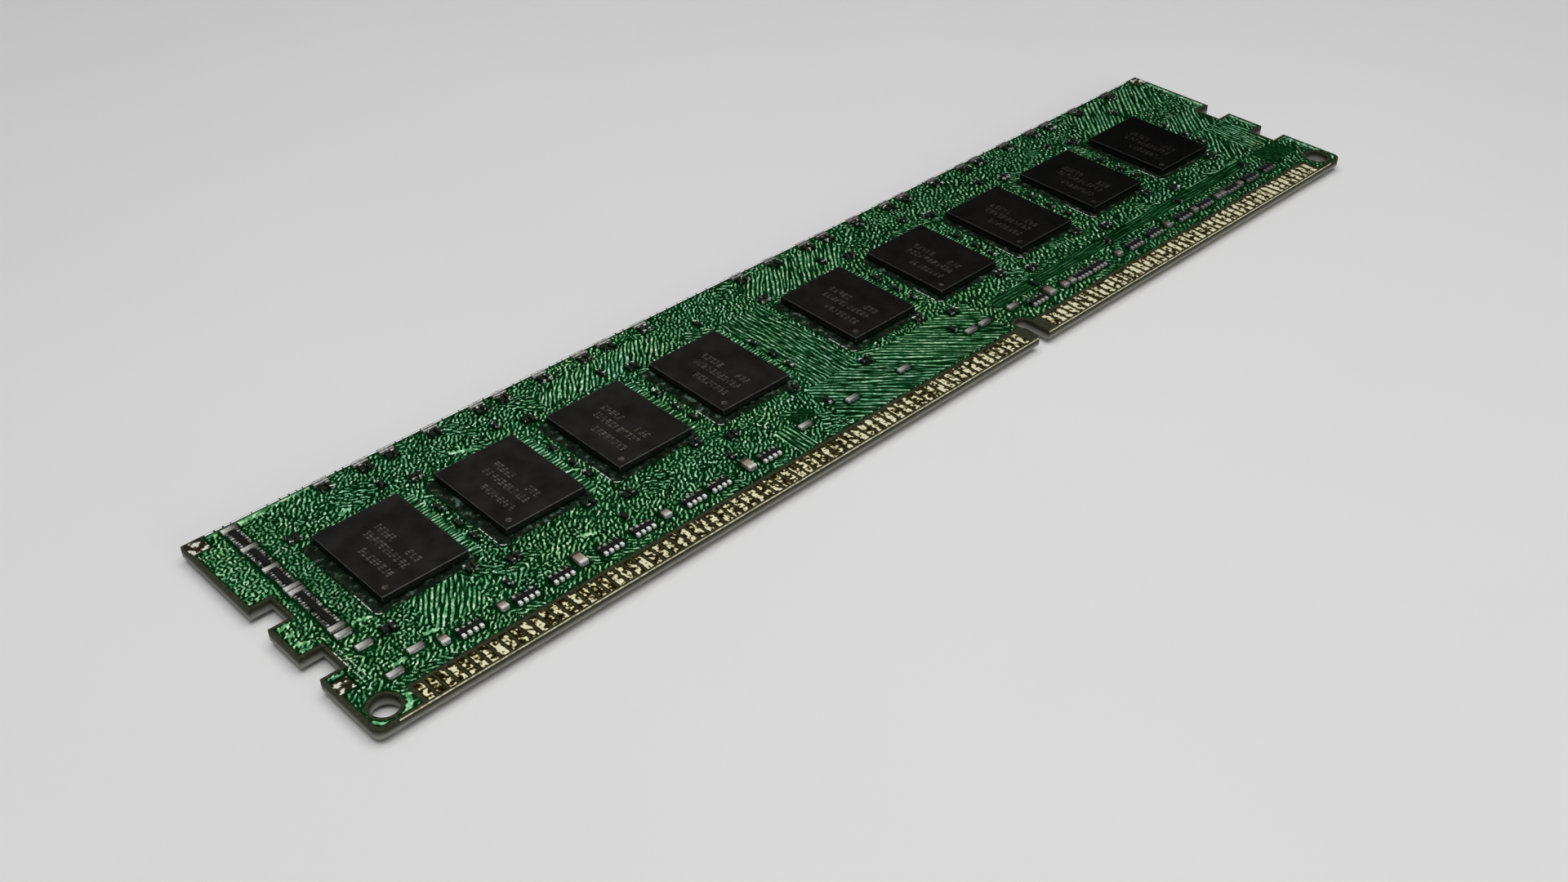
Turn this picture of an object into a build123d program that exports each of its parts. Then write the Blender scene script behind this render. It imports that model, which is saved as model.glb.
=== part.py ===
from build123d import *
import os

# A 240-contact memory module. Nine ball-grid memory chips and their passives sit on a layered board.
# X runs along the board from the contact-1 end, Y from the contact edge to the top edge, Z out of the chip side.
# The origin is under the middle of the board, on the plane that the module rests on, chip side up. Millimetres.

# Board outline
BOARD_LENGTH = 133.35
BOARD_WIDTH = 30.0
CORNER_RADIUS = 1.0  # of the two corners beside the contact edge
NOTCH_DEPTH = 2.1
NOTCH_WIDTH = 3.1
NOTCH_HEIGHTS = (9.5, 17.3)  # of the latch notches' middles, from the contact edge
HOLE_RADIUS = 1.25
HOLE_INSET = 2.05  # of the corner holes, from the end and from the contact edge
KEY_WIDTH = 1.6
KEY_DEPTH = 3.65
EDGE_BEVEL = 0.2  # along the contact edge, on both faces

# Board layers
MASK_THICKNESS = 0.03
PREPREG_THICKNESS = 0.235
CORE_THICKNESS = 0.64
PLANE_THICKNESS = 0.035
MASK_INSET = 0.3  # the mask stops this far from the board's edges
PLANE_INSET = 0.6

# Gold contacts
CONTACT_PITCH = 1.0
CONTACT_WIDTH = 0.76
CONTACT_LENGTH = 2.05
CONTACT_THICKNESS = 0.04
FIRST_CONTACT = 5.175  # from the board's end to the middle of contact 1
LONG_GROUP = 72
SHORT_GROUP = 48
GROUP_GAP = 5.0  # from the last contact of one group to the first of the next
BARE_BAND = 2.65  # the mask starts this far above the contact edge
BARE_MARGIN = 0.8  # of bare board beyond each outermost contact's middle
CORNER_PADS = ((1.0, 29.0, 1.7), (BOARD_LENGTH - 1.0, 29.0, 1.7), (0.95, 6.1, 1.5))  # x, y, side

# Memory chips
CHIP_LENGTH = 10.8  # along Y
CHIP_WIDTH = 8.6
CHIP_HEIGHT_ON_BOARD = 17.05  # of every chip's middle, from the contact edge
FIRST_CHIPS = [12.6 + 12.5 * i for i in range(4)]
LAST_CHIPS = [67.8 + 12.65 * i for i in range(5)]
CHIPS = FIRST_CHIPS + LAST_CHIPS
BALL_GAP = 0.22
BALL_RADIUS = 0.225
BALL_PITCH = 0.8
BALL_ROWS = 13
BALL_BLOCK_COLUMNS = 3
BALL_BLOCK_OFFSET = 2.4  # of each block of columns from the chip's middle
SUBSTRATE_THICKNESS = 0.18
MOLD_THICKNESS = 0.50
DIE_SIZE = (7.0, 9.2, 0.15)

# Plated vias
VIA_RADIUS = 0.18
VIA_BORE_RADIUS = 0.10
VIA_CLEARANCE = 0.4  # radius of the gap in the plane that a via passes by
GROUND_VIA_OFFSETS = ((-4.85, -3.2), (-4.85, 0.0), (-4.85, 3.2))  # from each chip's middle
POWER_VIA_OFFSETS = ((4.85, -2.2), (4.85, 0.5), (4.85, 3.9))
STITCHING_VIAS = [(8.0 + 9.75 * i, 26.9) for i in range(13)]

# Resistor arrays: the x of each one's middle, on the row above the contacts
ARRAY_ROW = 4.46
ARRAYS_FRONT = (11.75, 17.35, 21.05, 26.35, 29.9, 35.75, 38.7, 44.9,
                82.95, 90.2, 92.75, 99.2, 102.75, 108.1, 112.1, 117.2, 121.0, 124.5)
ARRAYS_BACK = [9.5 + 6.0 * i for i in range(11)] + [84.0 + 6.0 * i for i in range(7)]
ROW_ARRAY = ((2.3, 0.5, 0.32), (0.30, 0.36, 0.28), 0.58, 4)  # body, leg, pitch and count of the legs on a side
COLUMN_ARRAY = ((2.6, 0.6, 0.32), (0.16, 0.34, 0.22), 0.35, 7)

# Two-terminal chip parts: length between the end faces, width, height, depth of a terminal, reach of its solder
SMALL_CHIP = (1.0, 0.5, 0.35, 0.24, 0.10)
BULK_CHIP = (0.9, 0.8, 0.36, 0.26, 0.10)
LONG_BULK_CHIP = (1.5, 0.9, 0.40, 0.32, 0.12)
BAR_CHIP = (0.5, 1.5, 0.28, 0.15, 0.08)
FOOT_CHIP = (1.6, 0.8, 0.50, 0.35, 0.16)
TERMINAL_LAP = 0.02  # the terminals stand this far proud of the body
SOLDER_RISE = 0.6  # of the chip part's height

# Where they sit: x from the contact-1 end, y from the contact edge
SMALL_OFFSETS = ((4.5, 8.3), (-5.5, 7.0), (-4.8, 7.0), (6.25, 1.9), (6.25, -1.0), (6.25, -3.3),
                 (3.3, -6.55), (4.0, -6.55), (-5.9, -8.0), (-5.2, -8.0), (4.7, -10.2))  # from each chip's middle
BACK_SMALL_OFFSETS = ((-3.0, 8.6), (3.0, 8.6), (-3.0, -8.4), (3.0, -8.4))
BULK_SPOTS = [(9.45, 4.8), (15.25, 4.8), (32.6, 4.6)]
BULK_SPOTS += [(x, 4.5) for x in (87.35, 88.5, 96.45, 105.3, 110.2, 114.6, 115.55, 118.9)]
LONG_BULK_SPOTS = ((23.4, 5.05), (42.5, 4.75), (85.15, 4.85))
COLUMN_X = 4.1
COLUMN_ARRAY_SPOTS = [(COLUMN_X, y) for y in (27.2, 23.8, 20.35, 16.3, 13.65)]
BAR_SPOTS = [(COLUMN_X, y) for y in (28.92, 25.57, 22.05, 18.7, 18.0, 12.0, 11.0)]
BAR_SPOTS += [(4.6, 8.75), (7.35, 5.6), (4.6, 4.35)]
BAR_SPOTS += [(x, 5.5) for x in (50.5, 56.75, 63.9, 73.8, 75.85, 80.25)]
EDGE_ROW = 29.3
EDGE_SPOTS = [(x, EDGE_ROW) for x in (13.3, 17.4, 20.2, 24.95, 30.2, 32.85, 37.65, 42.55, 45.55, 50.25,
                                      63.65, 68.35, 73.3, 76.1, 81.0, 86.0, 88.8, 93.9, 98.9, 101.4,
                                      106.6, 111.4, 114.2, 119.7, 126.1)]
UNDER_EDGE_ROW = 28.3
UNDER_EDGE_SPREAD = 0.38
FOOT_SPOTS = [(x, y) for x in (9.0, 46.0, 88.0, 124.5) for y in (6.9, 27.2)]

# Serial-presence chip and label, on the back
SERIAL_CHIP_SPOT = (67.0, 19.0)
SERIAL_BODY = (2.0, 3.0, 0.44)
SERIAL_PAD = (0.30, 0.45, 0.06)
SERIAL_PAD_PITCH = 0.5
SERIAL_THERMAL_PAD = (0.8, 1.5, 0.06)
LABEL_SIZE = (42.0, 12.5, 0.10)
LABEL_SPOT = (38.0, 16.6)
LABEL_CORNER = 1.0

# Heights above the plane that the module rests on
BOARD_BOTTOM = FOOT_CHIP[2]
BOARD_THICKNESS = 2 * MASK_THICKNESS + 2 * PREPREG_THICKNESS + CORE_THICKNESS
BOARD_TOP = BOARD_BOTTOM + BOARD_THICKNESS
BACK_PREPREG_BOTTOM = BOARD_BOTTOM + MASK_THICKNESS
CORE_BOTTOM = BACK_PREPREG_BOTTOM + PREPREG_THICKNESS
CORE_TOP = CORE_BOTTOM + CORE_THICKNESS
FRONT_PREPREG_TOP = CORE_TOP + PREPREG_THICKNESS

SITTING = (Align.CENTER, Align.CENTER, Align.MIN)
UPSIDE_DOWN = Rot(180, 0, 0)


def at(x, y, z=0.0):
    """A place x from the contact-1 end and y from the contact edge."""
    return Pos(x - BOARD_LENGTH / 2, y - BOARD_WIDTH / 2, z)


def around_chips(offsets, chips=CHIPS):
    """The same offsets from each memory chip's middle."""
    return [(x + dx, CHIP_HEIGHT_ON_BOARD + dy) for x in chips for dx, dy in offsets]


def save(node, pieces):
    """Writes one node, whose pieces stay separate solids."""
    solids = [solid for piece in pieces for solid in piece.solids()]
    export_step(Compound(solids), f"parts/{node}.step")


# Board


GROUND_VIAS = around_chips(GROUND_VIA_OFFSETS) + STITCHING_VIAS
POWER_VIAS = around_chips(POWER_VIA_OFFSETS)
KEY_X = FIRST_CONTACT + (LONG_GROUP - 1) * CONTACT_PITCH + GROUP_GAP / 2


def outline(inset=0.0):
    """The board in plan, with its notches, key slot and corner holes, every edge drawn in by inset."""
    plate = Rectangle(BOARD_LENGTH - 2 * inset, BOARD_WIDTH - 2 * inset)
    plate = fillet(plate.vertices().group_by(Axis.Y)[0], CORNER_RADIUS - inset)
    for x in (0.0, BOARD_LENGTH):
        for y in NOTCH_HEIGHTS:
            plate -= at(x, y) * Rectangle(2 * (NOTCH_DEPTH + inset), NOTCH_WIDTH + 2 * inset)
    for x in (HOLE_INSET, BOARD_LENGTH - HOLE_INSET):
        plate -= at(x, HOLE_INSET) * Circle(HOLE_RADIUS + inset)
    round_end = KEY_DEPTH - KEY_WIDTH / 2
    plate -= at(KEY_X, round_end) * Circle(KEY_WIDTH / 2 + inset)
    plate -= at(KEY_X, 0.0) * Rectangle(KEY_WIDTH + 2 * inset, 2 * round_end)
    return plate


def holes(places, radius):
    """Round holes at places, as one sketch."""
    return Sketch() + [at(x, y) * Circle(radius) for x, y in places]


def layer(plan, bottom, thickness):
    """A flat sheet of the board with its lower face at bottom."""
    return extrude(Pos(0, 0, bottom) * plan, thickness)


def bevelled_prepreg(bottom, outer_face):
    """A prepreg sheet, with the contact edge of its outer face bevelled."""
    sheet = layer(outline() - holes(GROUND_VIAS + POWER_VIAS, VIA_RADIUS), bottom, PREPREG_THICKNESS)
    bevel_side = 2 ** 0.5 * EDGE_BEVEL
    cutter = Rot(45, 0, 0) * Box(BOARD_LENGTH, bevel_side, bevel_side)
    return sheet - Pos(0, -BOARD_WIDTH / 2, outer_face) * cutter


def copper_plane(bottom, joined_vias, passed_vias):
    """An inner copper sheet. It touches the joined vias and keeps clear of the passed ones."""
    plan = outline(PLANE_INSET) - holes(joined_vias, VIA_RADIUS) - holes(passed_vias, VIA_CLEARANCE)
    return layer(plan, bottom, PLANE_THICKNESS)


def solder_mask(bottom, pads):
    """The green skin. It leaves the contacts and the bare pads open, and covers the vias."""
    plan = outline(MASK_INSET)
    left = FIRST_CONTACT - BARE_MARGIN
    right = BOARD_LENGTH - left
    plan -= at((left + right) / 2, 0) * Rectangle(right - left, 2 * BARE_BAND)
    plan -= [at(x, y) * Rectangle(side, side) for x, y, side in pads]
    return layer(plan, bottom, MASK_THICKNESS)


def core():
    """The core. It is divided where the latch notches and the key slot end, so that each piece is a plain block."""
    plate = layer(outline() - holes(GROUND_VIAS + POWER_VIAS, VIA_RADIUS), CORE_BOTTOM, CORE_THICKNESS)
    blocks = {
        "core_laminate": (NOTCH_DEPTH, KEY_DEPTH, BOARD_LENGTH - NOTCH_DEPTH, BOARD_WIDTH),
        "core_contact_strips": (NOTCH_DEPTH, 0.0, BOARD_LENGTH - NOTCH_DEPTH, KEY_DEPTH),
        "core_tabs_near_end": (0.0, 0.0, NOTCH_DEPTH, BOARD_WIDTH),
        "core_tabs_far_end": (BOARD_LENGTH - NOTCH_DEPTH, 0.0, BOARD_LENGTH, BOARD_WIDTH),
    }
    for node, (x0, y0, x1, y1) in blocks.items():
        block = Box(x1 - x0, y1 - y0, CORE_THICKNESS, align=SITTING)
        save(node, [plate & at((x0 + x1) / 2, (y0 + y1) / 2, CORE_BOTTOM) * block])


def board():
    ground = copper_plane(CORE_TOP, GROUND_VIAS, POWER_VIAS)
    power = copper_plane(CORE_BOTTOM - PLANE_THICKNESS, POWER_VIAS, GROUND_VIAS)
    core()
    save("ground_plane", [ground])
    save("power_plane", [power])
    save("prepreg_front", [bevelled_prepreg(CORE_TOP, FRONT_PREPREG_TOP) - ground])
    save("prepreg_back", [bevelled_prepreg(BACK_PREPREG_BOTTOM, BACK_PREPREG_BOTTOM) - power])
    save("solder_mask_front", [solder_mask(FRONT_PREPREG_TOP, CORNER_PADS)])
    save("solder_mask_back", [solder_mask(BOARD_BOTTOM, [])])


def via_barrels():
    height = FRONT_PREPREG_TOP - BACK_PREPREG_BOTTOM
    barrel = Cylinder(VIA_RADIUS, height, align=SITTING) - Cylinder(VIA_BORE_RADIUS, height, align=SITTING)
    save("via_barrels", [at(x, y, BACK_PREPREG_BOTTOM) * barrel for x, y in GROUND_VIAS + POWER_VIAS])


def contacts():
    finger = Box(CONTACT_WIDTH, CONTACT_LENGTH, CONTACT_THICKNESS, align=(Align.CENTER, Align.MIN, Align.MIN))
    short_start = FIRST_CONTACT + (LONG_GROUP - 1) * CONTACT_PITCH + GROUP_GAP
    for side, bottom in (("front", FRONT_PREPREG_TOP), ("back", BACK_PREPREG_BOTTOM - CONTACT_THICKNESS)):
        for group, start, count in (("long", FIRST_CONTACT, LONG_GROUP), ("short", short_start, SHORT_GROUP)):
            places = [at(start + CONTACT_PITCH * i, EDGE_BEVEL, bottom) for i in range(count)]
            save(f"contacts_{side}_{group}", [place * finger for place in places])


def corner_pads():
    pads = [at(x, y, FRONT_PREPREG_TOP) * Box(side, side, MASK_THICKNESS, align=SITTING)
            for x, y, side in CORNER_PADS]
    save("corner_pads", pads)


# Memory chips


def ball_grid():
    """The solder balls of one chip, flattened where they meet the board and the substrate."""
    ball = Pos(0, 0, BALL_GAP / 2) * (Sphere(BALL_RADIUS) & Box(1, 1, BALL_GAP))
    spots = GridLocations(BALL_PITCH, BALL_PITCH, BALL_BLOCK_COLUMNS, BALL_ROWS)
    return [Pos(side * BALL_BLOCK_OFFSET, 0) * spot * ball for side in (-1, 1) for spot in spots]


def memory_chips():
    balls = ball_grid()
    substrate = Box(CHIP_WIDTH, CHIP_LENGTH, SUBSTRATE_THICKNESS, align=SITTING)
    die = Box(*DIE_SIZE, align=SITTING)
    mold = Box(CHIP_WIDTH, CHIP_LENGTH, MOLD_THICKNESS, align=SITTING) - die
    dies = []
    for number, x in enumerate(CHIPS, start=1):
        seat = at(x, CHIP_HEIGHT_ON_BOARD, BOARD_TOP)
        save(f"dram_balls_{number}", [seat * ball for ball in balls])
        save(f"dram_substrate_{number}", [seat * Pos(0, 0, BALL_GAP) * substrate])
        on_substrate = seat * Pos(0, 0, BALL_GAP + SUBSTRATE_THICKNESS)
        save(f"dram_mold_{number}", [on_substrate * mold])
        dies.append(on_substrate * die)
    save("dram_dies", dies)


# Passives


def array_part(body_size, leg_size, pitch, count):
    """The body and the legs of a resistor array that lies along X, with count legs on each side."""
    body = Box(*body_size, align=SITTING)
    leg = Box(*leg_size, align=SITTING)
    leg_y = (body_size[1] + leg_size[1]) / 2
    middle = (count - 1) / 2
    return body, [Pos((i - middle) * pitch, side * leg_y) * leg for i in range(count) for side in (-1, 1)]


def resistor_arrays():
    row = [at(x, ARRAY_ROW, BOARD_TOP) for x in ARRAYS_FRONT]
    row += [at(x, ARRAY_ROW, BOARD_BOTTOM) * UPSIDE_DOWN for x in ARRAYS_BACK]
    column = [at(x, y, BOARD_TOP) * Rot(0, 0, 90) for x, y in COLUMN_ARRAY_SPOTS]
    bodies, terminals = [], []
    for kind, seats in ((ROW_ARRAY, row), (COLUMN_ARRAY, column)):
        body, legs = array_part(*kind)
        bodies += [seat * body for seat in seats]
        terminals += [seat * leg for seat in seats for leg in legs]
    save("resistor_array_bodies", bodies)
    save("resistor_array_terminals", terminals)


def chip_part(length, width, height, terminal, reach):
    """The body, the terminals and the solder of a two-terminal part that lies along Y."""
    body = Box(width - 2 * TERMINAL_LAP, length - 2 * terminal, height - TERMINAL_LAP, align=SITTING)
    cap = Box(width, terminal, height, align=SITTING)
    wedge_profile = Plane.YZ * Polygon((0, 0), (reach, 0), (0, SOLDER_RISE * height), align=None)
    wedge = Pos(0, length / 2) * extrude(wedge_profile, 0.4 * width, both=True)
    ends = [Rot(0, 0, turn) for turn in (0, 180)]
    caps = [end * Pos(0, (length - terminal) / 2) * cap for end in ends]
    return body, caps, [end * wedge for end in ends]


def passives():
    """Every two-terminal part: one node of bodies and one of terminals for each kind, and one of solder.

    The smallest parts get no solder of their own.
    """
    def front(spots):
        return [at(x, y, BOARD_TOP) for x, y in spots]

    def back(spots):
        return [at(x, y, BOARD_BOTTOM) * UPSIDE_DOWN for x, y in spots]

    under_edge = [(x + side * UNDER_EDGE_SPREAD, UNDER_EDGE_ROW) for x, y in EDGE_SPOTS for side in (-1, 1)]
    small_seats = front(around_chips(SMALL_OFFSETS) + under_edge) + back(around_chips(BACK_SMALL_OFFSETS))
    kinds = {
        "decoupling_capacitor": [(SMALL_CHIP, small_seats)],
        "bulk_capacitor": [(BULK_CHIP, front(BULK_SPOTS)), (LONG_BULK_CHIP, front(LONG_BULK_SPOTS))],
        "bar_capacitor": [(BAR_CHIP, front(BAR_SPOTS))],
        "edge_capacitor": [(BAR_CHIP, front(EDGE_SPOTS))],
        "back_capacitor": [(FOOT_CHIP, back(FOOT_SPOTS))],
    }
    solder = []
    for kind, groups in kinds.items():
        bodies, terminals = [], []
        for size, seats in groups:
            body, caps, wedges = chip_part(*size)
            bodies += [seat * body for seat in seats]
            terminals += [seat * cap for seat in seats for cap in caps]
            if size != SMALL_CHIP:
                solder += [seat * wedge for seat in seats for wedge in wedges]
        save(f"{kind}_bodies", bodies)
        save(f"{kind}_terminals", terminals)
    save("solder_joints", solder)


def serial_chip():
    """The small chip on the back that tells the computer what the module is."""
    seat = at(*SERIAL_CHIP_SPOT, BOARD_BOTTOM) * UPSIDE_DOWN
    pad = Box(*SERIAL_PAD, align=SITTING)
    pad_x = (SERIAL_BODY[0] - SERIAL_PAD[0]) / 2 - 0.05
    pads = [Box(*SERIAL_THERMAL_PAD, align=SITTING)]
    pads += [Pos(side * pad_x, (i - 1.5) * 1.3 * SERIAL_PAD_PITCH) * pad for i in range(4) for side in (-1, 1)]
    save("serial_chip_body", [seat * Pos(0, 0, SERIAL_PAD[2]) * Box(*SERIAL_BODY, align=SITTING)])
    save("serial_chip_pads", [seat * piece for piece in pads])


def label():
    plan = RectangleRounded(LABEL_SIZE[0], LABEL_SIZE[1], LABEL_CORNER)
    seat = at(*LABEL_SPOT, BOARD_BOTTOM) * UPSIDE_DOWN
    save("back_label", [seat * extrude(plan, LABEL_SIZE[2])])


os.makedirs("parts", exist_ok=True)
board()
via_barrels()
contacts()
corner_pads()
memory_chips()
resistor_arrays()
passives()
serial_chip()
label()
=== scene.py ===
import math
import random

import bmesh
import bpy
import numpy as np
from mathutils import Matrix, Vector


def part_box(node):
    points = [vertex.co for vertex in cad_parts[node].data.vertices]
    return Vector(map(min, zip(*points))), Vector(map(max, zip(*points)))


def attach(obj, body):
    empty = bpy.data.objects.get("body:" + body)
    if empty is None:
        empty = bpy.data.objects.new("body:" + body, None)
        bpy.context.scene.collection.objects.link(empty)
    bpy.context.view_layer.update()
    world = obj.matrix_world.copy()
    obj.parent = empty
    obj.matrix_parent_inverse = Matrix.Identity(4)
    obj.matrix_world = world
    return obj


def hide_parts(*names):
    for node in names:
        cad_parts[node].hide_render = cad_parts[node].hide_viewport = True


# The looks of a memory module, built round its CAD frame. Blender works in metres. The plan of the board is
# in millimetres here: x from the contact-1 end and y from the contact edge.
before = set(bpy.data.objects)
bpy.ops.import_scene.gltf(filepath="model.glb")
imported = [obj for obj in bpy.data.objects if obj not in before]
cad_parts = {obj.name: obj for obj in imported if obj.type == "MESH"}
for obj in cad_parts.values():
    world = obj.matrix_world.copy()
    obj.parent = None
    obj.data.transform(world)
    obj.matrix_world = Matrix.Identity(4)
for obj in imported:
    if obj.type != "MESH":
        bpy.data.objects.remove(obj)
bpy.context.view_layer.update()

MM = 0.001
WELD_DISTANCE = 1e-6  # metres
BOARD_LOW, BOARD_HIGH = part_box("prepreg_front")
LENGTH = (BOARD_HIGH.x - BOARD_LOW.x) / MM
WIDTH = (BOARD_HIGH.y - BOARD_LOW.y) / MM
MASK_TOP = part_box("solder_mask_front")[1].z
MASK_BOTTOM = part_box("solder_mask_back")[0].z
CHIP_COUNT = sum(name.startswith("dram_mold_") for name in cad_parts)
CHIP_NODES = [f"dram_mold_{i + 1}" for i in range(CHIP_COUNT)]


def plan(point):
    """A point of the row frame as board millimetres."""
    return (point[0] - BOARD_LOW.x) / MM, (point[1] - BOARD_LOW.y) / MM


def place(x, y):
    """Board millimetres as x and y of the row frame."""
    return BOARD_LOW.x + x * MM, BOARD_LOW.y + y * MM


def solids(node):
    """The lowest and highest corner of each separate solid of a CAD node, in the row frame."""
    mesh = bmesh.new()
    mesh.from_mesh(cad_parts[node].data)
    bmesh.ops.remove_doubles(mesh, verts=mesh.verts, dist=WELD_DISTANCE)
    unseen = set(mesh.verts)
    boxes = []
    while unseen:
        waiting = [unseen.pop()]
        corners = []
        while waiting:
            vert = waiting.pop()
            corners.append(vert.co.copy())
            for edge in vert.link_edges:
                other = edge.other_vert(vert)
                if other in unseen:
                    unseen.discard(other)
                    waiting.append(other)
        low = Vector(min(c[i] for c in corners) for i in range(3))
        high = Vector(max(c[i] for c in corners) for i in range(3))
        boxes.append((low, high))
    mesh.free()
    return sorted(boxes, key=lambda b: (round(b[0].x, 6), round(b[0].y, 6), round(b[0].z, 6)))


# Camera, lights and floor

CAMERA_AT = (-0.10800, -0.10223, MASK_TOP + 0.09609)
CAMERA_LOOKS = (0.55417, 0.57706, -0.59991)
CAMERA_LENS = 39.98
SENSOR_WIDTH = 36.0
FLOOR_RADIUS = 2.2
FLOOR_RISE = 1.6
FLOOR_SIDES = 96
BEND_STEPS = 8  # of the curve from the floor to the backdrop
SKY_AT_HORIZON = 0.02
SKY_OVERHEAD = 0.36
SOFTBOX_AT = (-0.03, -0.05, 0.34)
SOFTBOX_SIZE = 0.42
SOFTBOX_WATTS = 0.98
FRONT_LIGHT_AT = (-0.05, -0.55, 0.16)
FRONT_LIGHT_SIZE = 0.3
FRONT_LIGHT_WATTS = 0.5


def add_camera():
    camera = bpy.data.objects.new("camera", bpy.data.cameras.new("camera"))
    camera.data.lens = CAMERA_LENS
    camera.data.sensor_width = SENSOR_WIDTH
    camera.data.clip_start = 0.005
    camera.location = CAMERA_AT
    camera.rotation_euler = Vector(CAMERA_LOOKS).to_track_quat("-Z", "Y").to_euler()
    bpy.context.scene.collection.objects.link(camera)
    bpy.context.scene.camera = camera


def add_area_light(name, at, towards, size, watts):
    data = bpy.data.lights.new(name, "AREA")
    data.shape = "DISK"
    data.size = size
    data.energy = watts
    lamp = bpy.data.objects.new(name, data)
    lamp.location = at
    lamp.rotation_euler = (Vector(towards) - Vector(at)).to_track_quat("-Z", "Y").to_euler()
    bpy.context.scene.collection.objects.link(lamp)


def add_lights():
    """A sky that is brighter overhead than at the horizon, a softbox above and a low light in front."""
    world = bpy.data.worlds.new("studio")
    world.use_nodes = True
    nodes = world.node_tree.nodes
    link = world.node_tree.links.new
    height = nodes.new("ShaderNodeSeparateXYZ")
    link(nodes.new("ShaderNodeTexCoord").outputs["Generated"], height.inputs[0])
    squared = nodes.new("ShaderNodeMath")
    squared.operation = "POWER"
    squared.inputs[1].default_value = 2
    link(height.outputs["Z"], squared.inputs[0])
    strength = nodes.new("ShaderNodeMapRange")
    strength.inputs["To Min"].default_value = SKY_AT_HORIZON
    strength.inputs["To Max"].default_value = SKY_OVERHEAD
    link(squared.outputs["Value"], strength.inputs["Value"])
    link(strength.outputs["Result"], nodes["Background"].inputs["Strength"])
    nodes["Background"].inputs["Color"].default_value = (1.0, 1.0, 1.0, 1)
    bpy.context.scene.world = world
    add_area_light("softbox", SOFTBOX_AT, (SOFTBOX_AT[0], SOFTBOX_AT[1], 0), SOFTBOX_SIZE, SOFTBOX_WATTS)
    add_area_light("front_light", FRONT_LIGHT_AT, (0, 0, 0), FRONT_LIGHT_SIZE, FRONT_LIGHT_WATTS)


def add_floor():
    """A round floor whose rim curves up into a backdrop, the same on every side."""
    bend = FLOOR_RADIUS / 2
    profile = [(bend, 0.0)]
    for step in range(1, BEND_STEPS + 1):
        turn = math.radians(90 * step / BEND_STEPS)
        profile.append((bend + bend * math.sin(turn), bend * (1 - math.cos(turn))))
    profile.append((FLOOR_RADIUS, FLOOR_RISE))
    mesh = bmesh.new()
    centre = mesh.verts.new((0, 0, 0))
    turns = [2 * math.pi * i / FLOOR_SIDES for i in range(FLOOR_SIDES)]
    rings = []
    for radius, height in profile:
        rings.append([mesh.verts.new((radius * math.cos(t), radius * math.sin(t), height)) for t in turns])
    for i in range(FLOOR_SIDES):
        j = (i + 1) % FLOOR_SIDES
        mesh.faces.new((centre, rings[0][i], rings[0][j]))
        for low, high in zip(rings, rings[1:]):
            mesh.faces.new((low[i], high[i], high[j], low[j]))
    floor = add_object("floor", mesh, [floor_material()])
    smooth(floor)


# Objects

SHARP_ANGLE = 40  # degrees between two faces, from which their edge is rounded
# Widths of the rounded edges, in millimetres
MOLD_ROUNDING = 0.07
FINE_ROUNDING = 0.012
PART_ROUNDING = 0.03
BULK_BODY_ROUNDING = 0.04
BULK_END_ROUNDING = 0.05


def add_object(name, mesh, materials):
    """Turns a bmesh into an object at the origin."""
    data = bpy.data.meshes.new(name)
    mesh.to_mesh(data)
    mesh.free()
    return link_mesh(name, data, materials)


def link_mesh(name, data, materials):
    """Turns mesh data into an object at the origin."""
    thing = bpy.data.objects.new(name, data)
    for finish in materials:
        data.materials.append(finish)
    bpy.context.scene.collection.objects.link(thing)
    return thing


def smooth(thing):
    thing.data.polygons.foreach_set("use_smooth", [True] * len(thing.data.polygons))


def on_board(piece):
    """Every piece of the module rides on its one body."""
    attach(piece, "root")


def round_edges(thing, width, edge_finish=None):
    """Rounds an object's edges. The rounded faces may have a finish of their own."""
    bevel = thing.modifiers.new("soft_edges", "BEVEL")
    bevel.width = width * MM
    bevel.segments = 2
    bevel.limit_method = "ANGLE"
    bevel.angle_limit = math.radians(SHARP_ANGLE)
    if edge_finish:
        thing.data.materials.append(edge_finish)
        bevel.material = len(thing.data.materials) - 1


def soften_node(node, width, edge_finish=None):
    """Rounds a CAD node's edges, after welding its faces together."""
    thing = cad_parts[node]
    weld = thing.modifiers.new("weld", "WELD")
    weld.merge_threshold = WELD_DISTANCE
    round_edges(thing, width, edge_finish)


# Material building


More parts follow.
